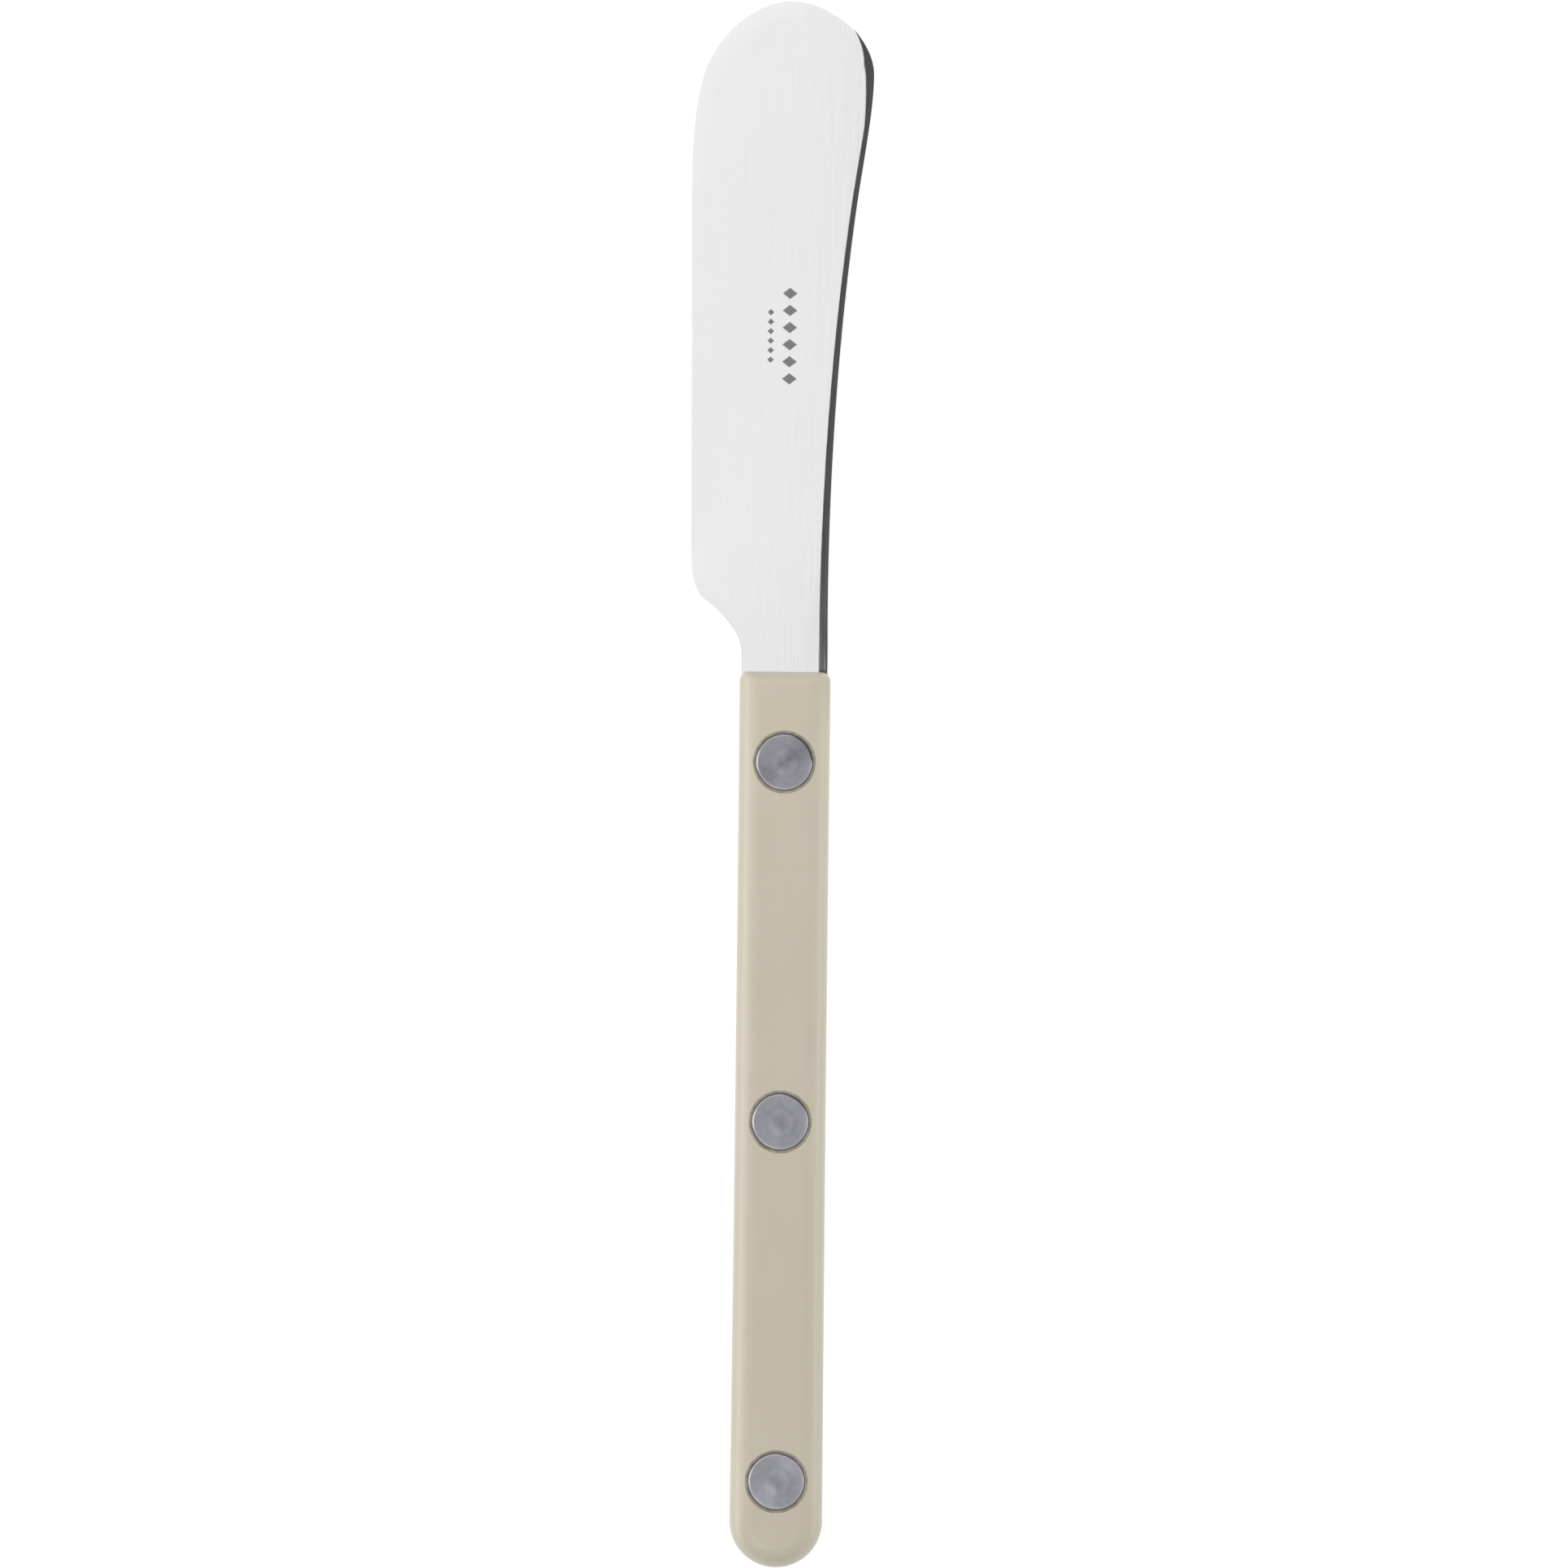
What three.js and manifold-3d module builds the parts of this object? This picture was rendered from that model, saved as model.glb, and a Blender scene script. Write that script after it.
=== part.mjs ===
// A butter spreader: a stainless blade whose full-length tang lies between two plastic handle scales, held by
// three two-piece cutler's rivets. Each rivet is a stud pressed into a socket from the other side.
//
// Millimetres. +Y runs from the butt of the handle to the tip of the blade, +X points to the spine and +Z up
// through the handle. Pieces are made about the middle of the tang with the butt at y = 0, and the finished
// group is then moved so that its origin is at the middle of the underside of its box.

import * as THREE from "three";
import { ConvexGeometry } from "three/addons/geometries/ConvexGeometry.js";
import { mergeVertices, toCreasedNormals } from "three/addons/utils/BufferGeometryUtils.js";
import Module from "manifold-3d";

// Overall
const LENGTH = 165; // butt to tip
const HANDLE_LENGTH = 94.3;
const HANDLE_THICKNESS = 8;

// Blade and tang, one piece of sheet steel
const SHEET = 2; // thickness of the tang and of the neck
const TANG_INSET = 0.2; // how far the scales stand proud of the tang all round
const NECK_END = 97; // from the butt to the end of the straight neck
const GRIND_START = 106; // from the butt to the heel, where the ground faces begin
const HEEL_REACH = 10.07; // from the handle's axis to the spreading edge at the heel
const EDGE_REACH = 10.45; // from the handle's axis to the spreading edge at its widest
const SPINE_REACH = 8.7; // from the handle's axis to the spine at its widest
const PLATE_ROUND = 0.9; // radius of the plate's rounded edges
const TAPER_ACROSS = 0.03; // thinning of each face per millimetre from the spine to the edge
const TAPER_ALONG = 0.008; // thinning of each face per millimetre towards the tip

// Handle scales
const BUTT_WIDTH = 9.76;
const WAIST_WIDTH = 9.54;
const FRONT_WIDTH = 9.58; // at the end next to the blade
const SCALE_CORNER = 1; // plan radius of the two corners next to the blade
const SCALE_ROUND = 2.3; // radius of the long outer edges and of the butt's
const FRONT_ROUND = 1.5; // how far the edge next to the blade is rounded back

// Rivets
const RIVET_FIRST = 9.1; // from the butt to the first rivet
const RIVET_SPACING = 37.85;
const HEAD_RADIUS = 3;
const HEAD_CHAMFER = 0.2;
const HEAD_SUNK = 0.02; // how far a head lies below the scale's face
const COUNTERBORE_DEPTH = 1;
const BARREL_RADIUS = 2; // the socket's barrel
const PIN_RADIUS = 1.2; // the stud's pin
const CLEARANCE = 0.1; // round the heads, the barrel and the pin
const BARREL_SHORT = 0.2; // gap between the barrel's mouth and the stud's head
const PIN_SHORT = 0.8; // gap between the pin's end and the bottom of the socket's bore

// Fineness of the surfaces
const CIRCLE_SEGMENTS = 40;
const CURVE_STEPS = 14; // along each stretch of an outline
const SCALE_ROUND_STEPS = 8;
const PLATE_ROUND_STEPS = 4;
const MERGE_DISTANCE = 1e-4;
const CREASE_ANGLE = 0.6; // radians

const STEEL = { color: 0xc3c5ca, roughness: 0.2, metalness: 1 };
const RIVET_STEEL = { color: 0x9a9aa2, roughness: 0.35, metalness: 1 };
const BEIGE_PLASTIC = { color: 0xc2bba9, roughness: 0.38, metalness: 0 };

const wasm = await Module();
wasm.setup();

// A three.js geometry as a manifold-3d solid.
function solidOf(geometry) {
  const bare = geometry.clone();
  bare.deleteAttribute("normal");
  bare.deleteAttribute("uv");
  const merged = mergeVertices(bare, MERGE_DISTANCE);
  const mesh = new wasm.Mesh({
    numProp: 3,
    vertProperties: merged.attributes.position.array,
    triVerts: new Uint32Array(merged.index.array),
  });
  return new wasm.Manifold(mesh);
}

// A manifold-3d solid as a three.js geometry with sharp edges kept sharp.
function geometryOf(solid) {
  const mesh = solid.getMesh();
  const geometry = new THREE.BufferGeometry();
  geometry.setAttribute("position", new THREE.BufferAttribute(mesh.vertProperties, 3));
  geometry.setIndex(new THREE.BufferAttribute(mesh.triVerts, 1));
  return toCreasedNormals(geometry, CREASE_ANGLE);
}

// A cylinder along Z between two heights.
function drill(radius, y, bottom, top) {
  const cylinder = new THREE.CylinderGeometry(radius, radius, top - bottom, CIRCLE_SEGMENTS);
  return solidOf(cylinder.rotateX(Math.PI / 2).translate(0, y, (bottom + top) / 2));
}

const rivetPlaces = [
  { name: "lower", y: RIVET_FIRST },
  { name: "middle", y: RIVET_FIRST + RIVET_SPACING },
  { name: "upper", y: RIVET_FIRST + 2 * RIVET_SPACING },
];

// ---- blade ----

const tangHalf = WAIST_WIDTH / 2 - TANG_INSET;

// The plate seen from above: butt, neck, swept spine, round tip, straight spreading edge and heel.
function plateOutline() {
  const buttCentre = tangHalf + TANG_INSET;
  const tip = LENGTH;
  const outline = new THREE.Shape();
  outline.moveTo(tangHalf, buttCentre);
  outline.lineTo(tangHalf, NECK_END);
  outline.bezierCurveTo(tangHalf - 0.2, NECK_END + 15, 5.1, tip - 37, 7.05, tip - 21.7); // spine
  outline.bezierCurveTo(7.7, tip - 16.7, SPINE_REACH, tip - 11.6, SPINE_REACH, tip - 7.7);
  outline.bezierCurveTo(SPINE_REACH, tip - 5.7, 7.4, tip - 3.7, 6.6, tip - 2.9); // tip
  outline.bezierCurveTo(5.6, tip - 1.9, 2.9, tip, 0, tip);
  outline.bezierCurveTo(-3.8, tip, -6.6, tip - 3.2, -7.6, tip - 4.5);
  outline.bezierCurveTo(-8.9, tip - 6.2, -EDGE_REACH, tip - 9.3, -EDGE_REACH, tip - 18.6);
  outline.lineTo(-HEEL_REACH, GRIND_START + 1.5); // spreading edge
  outline.bezierCurveTo(-HEEL_REACH, GRIND_START - 4.1, -8.6, 102.2, -7, 100.6); // heel
  outline.bezierCurveTo(-tangHalf, 98.2, -tangHalf, NECK_END, -tangHalf, NECK_END - 2);
  outline.lineTo(-tangHalf, buttCentre);
  outline.absarc(0, buttCentre, tangHalf, Math.PI, 2 * Math.PI, false); // butt
  return outline;
}

// Half the sheet's thickness before it is ground.
function sheetHalf() {
  return SHEET / 2;
}

// Half the blade's thickness between its flat ground faces.
function groundHalf(x, y) {
  const fromSpine = tangHalf - x;
  return SHEET / 2 - TAPER_ACROSS * fromSpine - TAPER_ALONG * (y - GRIND_START);
}

// The space between the two faces of the blade, from one distance along the knife to another.
function betweenFaces(from, fromHalf, to, toHalf) {
  const side = EDGE_REACH + 1;
  const corners = [];
  for (const x of [-side, side]) {
    for (const up of [-1, 1]) {
      corners.push(new THREE.Vector3(x, from, up * fromHalf(x, from)));
      corners.push(new THREE.Vector3(x, to, up * toHalf(x, to)));
    }
  }
  return solidOf(new ConvexGeometry(corners));
}

function makeBlade() {
  const plate = new THREE.ExtrudeGeometry(plateOutline(), {
    depth: SHEET - 2 * PLATE_ROUND,
    bevelThickness: PLATE_ROUND,
    bevelSize: PLATE_ROUND,
    bevelOffset: -PLATE_ROUND,
    bevelSegments: PLATE_ROUND_STEPS,
    curveSegments: CURVE_STEPS,
  });
  plate.translate(0, 0, PLATE_ROUND - SHEET / 2);
  const faces = betweenFaces(-1, sheetHalf, NECK_END, sheetHalf)
    .add(betweenFaces(NECK_END, sheetHalf, GRIND_START, groundHalf))
    .add(betweenFaces(GRIND_START, groundHalf, LENGTH + 1, groundHalf));
  let blade = solidOf(plate).intersect(faces);
  for (const place of rivetPlaces) {
    blade = blade.subtract(drill(BARREL_RADIUS + CLEARANCE, place.y, -SHEET, SHEET));
  }
  return geometryOf(blade);
}

// ---- handle scales ----

// The points of a scale's outline, drawn in from its widest by the given distance.
function scaleOutline(inset) {
  const butt = BUTT_WIDTH / 2 - inset;
  const waist = WAIST_WIDTH / 2 - inset;
  const front = FRONT_WIDTH / 2 - inset;
  const end = HANDLE_LENGTH - (inset * FRONT_ROUND) / SCALE_ROUND;
  const corner = SCALE_CORNER * (1 - inset / SCALE_ROUND / 2);
  const buttCentre = BUTT_WIDTH / 2;
  const cornerX = front - corner;
  const cornerY = end - corner;
  const waistPull = 2 * waist - (butt + front) / 2; // makes each side pass through the waist halfway
  const point = (x, y) => new THREE.Vector2(x, y);
  const side = (sign, from, to) =>
    new THREE.QuadraticBezierCurve(from, point(sign * waistPull, (from.y + to.y) / 2), to);
  const arc = (x, y, radius, start, end) => new THREE.EllipseCurve(x, y, radius, radius, start, end);
  const curves = [
    side(1, point(butt, buttCentre), point(front, cornerY)),
    arc(cornerX, cornerY, corner, 0, Math.PI / 2),
    new THREE.LineCurve(point(cornerX, end), point(-cornerX, end)),
    arc(-cornerX, cornerY, corner, Math.PI / 2, Math.PI),
    side(-1, point(-front, cornerY), point(-butt, buttCentre)),
    arc(0, buttCentre, butt, Math.PI, 2 * Math.PI),
  ];
  return curves.flatMap((curve) => curve.getPoints(curve.isLineCurve ? 1 : CURVE_STEPS).slice(0, -1));
}

// A closed solid through outlines with the same number of points, each at its own height.
function loft(layers) {
  const count = layers[0].points.length;
  const positions = layers.flatMap(({ points, z }) => points.flatMap((p) => [p.x, p.y, z]));
  const triangles = [];
  for (let layer = 0; layer + 1 < layers.length; layer++) {
    for (let i = 0; i < count; i++) {
      const here = layer * count + i;
      const next = layer * count + ((i + 1) % count);
      triangles.push(here, next, next + count, here, next + count, here + count);
    }
  }
  const last = (layers.length - 1) * count;
  for (const [a, b, c] of THREE.ShapeUtils.triangulateShape(layers[0].points, [])) {
    triangles.push(c, b, a);
  }
  for (const [a, b, c] of THREE.ShapeUtils.triangulateShape(layers.at(-1).points, [])) {
    triangles.push(last + a, last + b, last + c);
  }
  const geometry = new THREE.BufferGeometry();
  geometry.setAttribute("position", new THREE.Float32BufferAttribute(positions, 3));
  geometry.setIndex(triangles);
  return geometry;
}

// The front scale: flat where it meets the tang, and rounded all round its outer face.
function makeScale() {
  const top = HANDLE_THICKNESS / 2;
  const seat = top - COUNTERBORE_DEPTH;
  const layers = [{ points: scaleOutline(0), z: SHEET / 2 }];
  for (let step = 0; step <= SCALE_ROUND_STEPS; step++) {
    const angle = (step / SCALE_ROUND_STEPS) * (Math.PI / 2);
    const inset = SCALE_ROUND * (1 - Math.cos(angle));
    layers.push({ points: scaleOutline(inset), z: top - SCALE_ROUND * (1 - Math.sin(angle)) });
  }
  let scale = solidOf(loft(layers));
  for (const place of rivetPlaces) {
    scale = scale.subtract(drill(BARREL_RADIUS + CLEARANCE, place.y, 0, HANDLE_THICKNESS));
    scale = scale.subtract(drill(HEAD_RADIUS + CLEARANCE, place.y, seat, HANDLE_THICKNESS));
  }
  return geometryOf(scale);
}

// ---- rivets ----

// A solid of revolution about Z, from a profile of [radius, height] points.
function turned(profile) {
  const points = profile.map(([radius, height]) => new THREE.Vector2(radius, height));
  return new THREE.LatheGeometry(points, CIRCLE_SEGMENTS).rotateX(Math.PI / 2);
}

const headFace = HANDLE_THICKNESS / 2 - HEAD_SUNK;
const headSeat = HANDLE_THICKNESS / 2 - COUNTERBORE_DEPTH;
const boreBottom = -headSeat;

function makeStud() {
  return turned([
    [0, boreBottom + PIN_SHORT],
    [PIN_RADIUS, boreBottom + PIN_SHORT],
    [PIN_RADIUS, headSeat],
    [HEAD_RADIUS, headSeat],
    [HEAD_RADIUS, headFace - HEAD_CHAMFER],
    [HEAD_RADIUS - HEAD_CHAMFER, headFace],
    [0, headFace],
  ]);
}

function makeSocket() {
  const mouth = headSeat - BARREL_SHORT;
  return turned([
    [0, -headFace],
    [HEAD_RADIUS - HEAD_CHAMFER, -headFace],
    [HEAD_RADIUS, HEAD_CHAMFER - headFace],
    [HEAD_RADIUS, -headSeat],
    [BARREL_RADIUS, -headSeat],
    [BARREL_RADIUS, mouth],
    [PIN_RADIUS + CLEARANCE, mouth],
    [PIN_RADIUS + CLEARANCE, boreBottom],
    [0, boreBottom],
  ]);
}

// ---- assembly ----

function piece(name, geometry, finish) {
  const mesh = new THREE.Mesh(geometry, new THREE.MeshStandardMaterial(finish));
  mesh.name = name;
  return mesh;
}

const spreader = new THREE.Group();
const scale = makeScale();
const backScale = piece("back_scale", scale, BEIGE_PLASTIC);
backScale.rotation.y = Math.PI; // the front scale turned over
spreader.add(piece("blade", makeBlade(), STEEL), piece("front_scale", scale, BEIGE_PLASTIC), backScale);

for (const place of rivetPlaces) {
  const rivet = new THREE.Group();
  rivet.position.y = place.y;
  rivet.add(piece(`${place.name}_rivet_stud`, makeStud(), RIVET_STEEL));
  rivet.add(piece(`${place.name}_rivet_socket`, makeSocket(), RIVET_STEEL));
  spreader.add(rivet);
}

const bounds = new THREE.Box3().setFromObject(spreader);
const middle = bounds.getCenter(new THREE.Vector3());
spreader.position.set(-middle.x, -middle.y, -bounds.min.z);

export default spreader;
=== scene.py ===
"""Looks of a butter spreader: finished meshes, materials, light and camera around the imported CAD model.

The knife's lengths are millimetres about its own axis: x = 0 is the middle of the handle, y = 0 the end of
its butt, and z = 0 the middle of the tang. to_frame() turns them into metres in the frame of the CAD model.
The studio's lengths are metres in that frame.
"""

import math

import bmesh
import bpy
import numpy as np
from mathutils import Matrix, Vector
from mathutils.geometry import tessellate_polygon


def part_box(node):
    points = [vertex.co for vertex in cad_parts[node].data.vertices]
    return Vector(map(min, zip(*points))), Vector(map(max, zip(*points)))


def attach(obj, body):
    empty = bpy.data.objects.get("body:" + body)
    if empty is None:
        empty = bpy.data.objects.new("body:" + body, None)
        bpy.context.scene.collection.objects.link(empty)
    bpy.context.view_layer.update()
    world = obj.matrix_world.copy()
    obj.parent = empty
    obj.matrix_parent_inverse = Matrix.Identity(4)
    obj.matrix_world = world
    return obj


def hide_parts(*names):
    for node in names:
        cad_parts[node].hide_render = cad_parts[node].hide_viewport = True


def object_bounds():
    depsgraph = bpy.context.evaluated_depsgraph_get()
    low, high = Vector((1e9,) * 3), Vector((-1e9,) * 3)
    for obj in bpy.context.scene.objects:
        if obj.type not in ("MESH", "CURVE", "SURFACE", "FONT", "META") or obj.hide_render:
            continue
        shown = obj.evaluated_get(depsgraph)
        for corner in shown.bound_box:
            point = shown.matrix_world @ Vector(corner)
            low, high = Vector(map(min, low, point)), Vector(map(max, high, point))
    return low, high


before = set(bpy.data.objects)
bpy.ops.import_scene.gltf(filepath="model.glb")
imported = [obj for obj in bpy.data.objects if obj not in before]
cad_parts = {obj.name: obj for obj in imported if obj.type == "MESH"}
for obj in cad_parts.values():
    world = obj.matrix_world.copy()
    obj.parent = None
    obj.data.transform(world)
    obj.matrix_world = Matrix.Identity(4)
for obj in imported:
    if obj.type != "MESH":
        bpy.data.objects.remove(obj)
cad_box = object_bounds()

# ---- sizes from the frame ----

MM = 0.001
scale_low, scale_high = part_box("front_scale")
blade_low, blade_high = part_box("blade")
stud_low, stud_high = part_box("middle_rivet_stud")
socket_low, socket_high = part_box("middle_rivet_socket")

AXIS_X = (scale_low.x + scale_high.x) / 2
BUTT_Y = scale_low.y
MIDDLE_Z = (blade_low.z + blade_high.z) / 2

LENGTH = (blade_high.y - BUTT_Y) / MM
HANDLE_LENGTH = (scale_high.y - BUTT_Y) / MM
SCALE_INNER = (scale_low.z - MIDDLE_Z) / MM
SCALE_OUTER = (scale_high.z - MIDDLE_Z) / MM
SHEET = (blade_high.z - blade_low.z) / MM
BUTT_WIDTH = (scale_high.x - scale_low.x) / MM
EDGE_REACH = (AXIS_X - blade_low.x) / MM
SPINE_REACH = (blade_high.x - AXIS_X) / MM
HEAD_RADIUS = (stud_high.x - stud_low.x) / 2 / MM
HEAD_FACE = (stud_high.z - MIDDLE_Z) / MM
PIN_END = (stud_low.z - MIDDLE_Z) / MM
BARREL_MOUTH = (socket_high.z - MIDDLE_Z) / MM
RIVETS = {}
for place in ("lower", "middle", "upper"):
    low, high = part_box(f"{place}_rivet_stud")
    RIVETS[place] = ((low.y + high.y) / 2 - BUTT_Y) / MM

# ---- sizes that the CAD boxes don't give, the same as in the CAD source ----

TANG_INSET = 0.2
WAIST_WIDTH = 9.54
FRONT_WIDTH = 9.58
TANG_HALF = WAIST_WIDTH / 2 - TANG_INSET
TANG_BUTT = TANG_HALF + TANG_INSET  # where the tang's round butt is centred
NECK_END = 97
GRIND_START = 106
HEEL_REACH = 10.07
TAPER_ACROSS = 0.03
TAPER_ALONG = 0.008
SCALE_CORNER = 1
SCALE_ROUND = 2.3
FRONT_ROUND = 1.5
COUNTERBORE_DEPTH = 1
BARREL_RADIUS = 2
PIN_RADIUS = 1.2
CLEARANCE = 0.1
HEAD_SEAT = SCALE_OUTER - COUNTERBORE_DEPTH

# ---- finish details ----

GRIND_BLEND = 15  # length over which the neck's flat face turns into the ground face
EDGE_BAND = 2.2  # width of the rolled band along the spreading edge
EDGE_ROLL = 0.15  # how far that band drops on each face
RIM_ROUND = 0.14  # how far the rounding of the tang's sides reaches in
EDGE_ROUND = 0.06  # the same on the neck's left side and the spreading edge
SPINE_ROUND = {  # the same on the spine, at distances from the butt
    HANDLE_LENGTH - 0.8: RIM_ROUND,
    HANDLE_LENGTH: 1.05,
    LENGTH - 40: 0.76,
    LENGTH - 13: 0.55,
    LENGTH - 6.5: 1.02,
    LENGTH - 3: 0.1,
    LENGTH: EDGE_ROUND,
}
INNER_FILLET = 0.12  # on the scales' edges against the tang
HOLE_FILLET = 0.15
HEAD_GAP = 0.03  # between a rivet's head and its hole
HEAD_CROWN = 0.05  # how much higher the middle of a head is than its rim
HEAD_BEVEL = 0.18  # length of the slope round a head
HEAD_BEVEL_ANGLE = math.radians(30)
HEAD_BEVEL_ROUNDS = (0.08, 0.05)  # radii where the slope meets the face and the side
MARK_Y = 129.7  # middle of the etched ornament

# ---- fineness of the blade ----

RIM_STEPS = 10  # from the middle of the sheet over the rounded rim
BUTT_STEPS = 24  # over a quarter of the tang's round butt
TANG_STEPS = 11
HEEL_STEPS = 56
TIP_STEPS = 140
GRID_START = HANDLE_LENGTH - 1.3  # where the rows of points across the blade start, just inside the handle
GRID_TURN = GRIND_START + 1  # where they start to lie closer together towards the tip
NEAR_RIM = 0.006  # share of the width between a rim and the column next to it
COLUMNS = np.array([0, NEAR_RIM, *np.linspace(0, 1, 28)[1:-1], 1 - NEAR_RIM, 1])  # shares of the width

# ---- fineness of the scales and rivets ----

ROUND_STEPS = 16  # over the rounded outer edge
OPEN_BANDS = 7  # how many of those bands reach in among the rivets
FILLET_STEPS = 5
FLAT_COLUMNS = 10
STATION_PITCH = 0.5
CORNER_POINTS = 13
FRONT_POINTS = 5  # over half the front end
ARC_STEPS = 72  # over the round butt
PATCH_HALF = 4.0  # half the length of the patch round a rivet
PATCH_STEPS = 6
FACE_STEPS = 23  # from the middle of a rivet's face to its bevel
BEVEL_STEPS = 4  # over each of the bevel's two roundings


def to_frame(points):
    """Knife millimetres as metres in the frame of the CAD model."""
    return np.asarray(points, float) * MM + np.array([AXIS_X, BUTT_Y, MIDDLE_Z])


# ---- mesh helpers ----


def new_object(name, points, faces):
    """A mesh object in the scene, from points in metres."""
    mesh = bpy.data.meshes.new(name)
    mesh.from_pydata(points, [], faces)
    made = bpy.data.objects.new(name, mesh)
    bpy.context.scene.collection.objects.link(made)
    return made


class Shell:
    """Collects the vertices and faces of one closed surface."""

    def __init__(self):
        self.points = []
        self.faces = []

    def add(self, points):
        """Adds points and returns their indices."""
        first = len(self.points)
        self.points.extend(tuple(p) for p in points)
        return list(range(first, len(self.points)))

    def bridge(self, a, b):
        """Quads between two closed rings of the same length."""
        for i in range(len(a)):
            j = (i + 1) % len(a)
            self.faces.append((a[i], a[j], b[j], b[i]))

    def fill(self, outer, holes=()):
        """Triangles over a flat region with holes."""
        loops = [outer, *holes]
        flat = [i for loop in loops for i in loop]
        shape = [[Vector(self.points[i]) for i in loop] for loop in loops]
        for triangle in tessellate_polygon(shape):
            self.faces.append(tuple(flat[i] for i in triangle))

    def fan(self, centre, ring):
        """Triangles from one point to each side of a closed ring."""
        for i in range(len(ring)):
            self.faces.append((centre, ring[i], ring[(i + 1) % len(ring)]))

    def to_object(self, name):
        """The surface as a smooth object with sharp creases, all faces pointing out."""
        made = new_object(name, to_frame(self.points).tolist(), self.faces)
        bm = bmesh.new()
        bm.from_mesh(made.data)
        bmesh.ops.recalc_face_normals(bm, faces=bm.faces)
        bm.to_mesh(made.data)
        bm.free()
        made.data.shade_smooth()
        made.data.set_sharp_from_angle(angle=math.radians(35))
        return made


def bezier(p0, p1, p2, p3):
    """Points along a cubic Bezier curve."""
    t = np.linspace(0, 1, 200)[:, None]
    p0, p1, p2, p3 = (np.array(p, float) for p in (p0, p1, p2, p3))
    return (1 - t) ** 3 * p0 + 3 * t * (1 - t) ** 2 * p1 + 3 * t**2 * (1 - t) * p2 + t**3 * p3


def circle(y, radius, z):
    """Points round a circle about the handle's axis."""
    angles = np.linspace(0, 2 * math.pi, 96, endpoint=False)
    return [(radius * math.cos(a), y + radius * math.sin(a), z) for a in angles]


def smooth_step(t):
    """0 below 0, 1 above 1, and a smooth rise between them."""
    t = np.clip(t, 0, 1)
    return t * t * (3 - 2 * t)


# ---- blade ----


def spine_curve():
    """Right side of the blade from the neck to the tip."""
    tip = LENGTH
    return np.vstack([
        [(TANG_HALF, BUTT_WIDTH / 2)],
        bezier((TANG_HALF, NECK_END), (TANG_HALF - 0.2, NECK_END + 15), (5.1, tip - 37), (7.05, tip - 21.7)),
        bezier((7.05, tip - 21.7), (7.7, tip - 16.7), (SPINE_REACH, tip - 11.6), (SPINE_REACH, tip - 7.7)),
        bezier((SPINE_REACH, tip - 7.7), (SPINE_REACH, tip - 5.7), (7.4, tip - 3.7), (6.6, tip - 2.9)),
        bezier((6.6, tip - 2.9), (5.6, tip - 1.9), (2.9, tip), (0, tip)),
    ])


def edge_curve():
    """Left side of the blade from the neck to the tip."""
    tip = LENGTH
    edge = -EDGE_REACH
    heel = -HEEL_REACH
    neck = -TANG_HALF
    return np.vstack([
        [(neck, BUTT_WIDTH / 2)],
        bezier((neck, NECK_END - 2), (neck, NECK_END), (neck, 98.2), (-7, 100.6)),
        bezier((-7, 100.6), (-8.6, 102.2), (heel, GRIND_START - 4.1), (heel, GRIND_START + 1.5)),
        bezier((edge, tip - 18.6), (edge, tip - 9.3), (-8.9, tip - 6.2), (-7.6, tip - 4.5)),
        bezier((-7.6, tip - 4.5), (-6.6, tip - 3.2), (-3.8, tip), (0, tip)),
    ])


def blade_stations():
    """Distances from the butt at which both sides get a point: round butt, tang, neck and heel, blade."""
    butt = TANG_BUTT - TANG_HALF * np.cos(np.linspace(0, math.pi / 2, BUTT_STEPS + 1)[1:])
    tang = np.linspace(TANG_BUTT, GRID_START, TANG_STEPS + 1)[1:-1]
    heel = np.linspace(GRID_START, GRID_TURN, HEEL_STEPS + 1)
    blade = GRID_TURN + (LENGTH - GRID_TURN) * np.sin(np.linspace(0, math.pi / 2, TIP_STEPS + 1)[1:-1])
    return np.concatenate([butt, tang, heel, blade])


def blade_side(stations, curve, sign):
    """Points at the stations along one side: sign is 1 for the spine and -1 for the spreading edge."""
    on_butt = np.sqrt(np.clip(TANG_HALF**2 - (TANG_BUTT - stations) ** 2, 0, None))
    beyond = np.interp(stations, curve[:, 1], curve[:, 0])
    return np.column_stack([np.where(stations < TANG_BUTT, sign * on_butt, beyond), stations])


def blade_outline(stations):
    """Points up the right side, over the tip and down the left side, and their outward normals."""
    right = blade_side(stations, spine_curve(), 1)
    left = blade_side(stations, edge_curve(), -1)
    outline = np.vstack([[(0, TANG_BUTT - TANG_HALF)], right, [(0, LENGTH)], left[::-1]])
    tangent = np.roll(outline, -1, 0) - np.roll(outline, 1, 0)
    normal = np.column_stack([tangent[:, 1], -tangent[:, 0]])
    return outline, normal / np.linalg.norm(normal, axis=1)[:, None]


def rim_depths(stations):
    """How far the rim's rounding reaches in at each point of the outline."""
    spine = np.interp(stations, list(SPINE_ROUND), list(SPINE_ROUND.values()))
    edge = np.interp(stations, (HANDLE_LENGTH, NECK_END), (RIM_ROUND, EDGE_ROUND))
    return np.concatenate([[RIM_ROUND], spine, [EDGE_ROUND], edge[::-1]])


def edge_distance(points):
    """How far each point is from the heel, the spreading edge and the tip."""
    edge = edge_curve()
    line = edge[edge[:, 1] > NECK_END][::4]
    apart = points[:, None, :] - line[None, :, :]
    return np.sqrt((apart**2).sum(2)).min(1)


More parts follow.
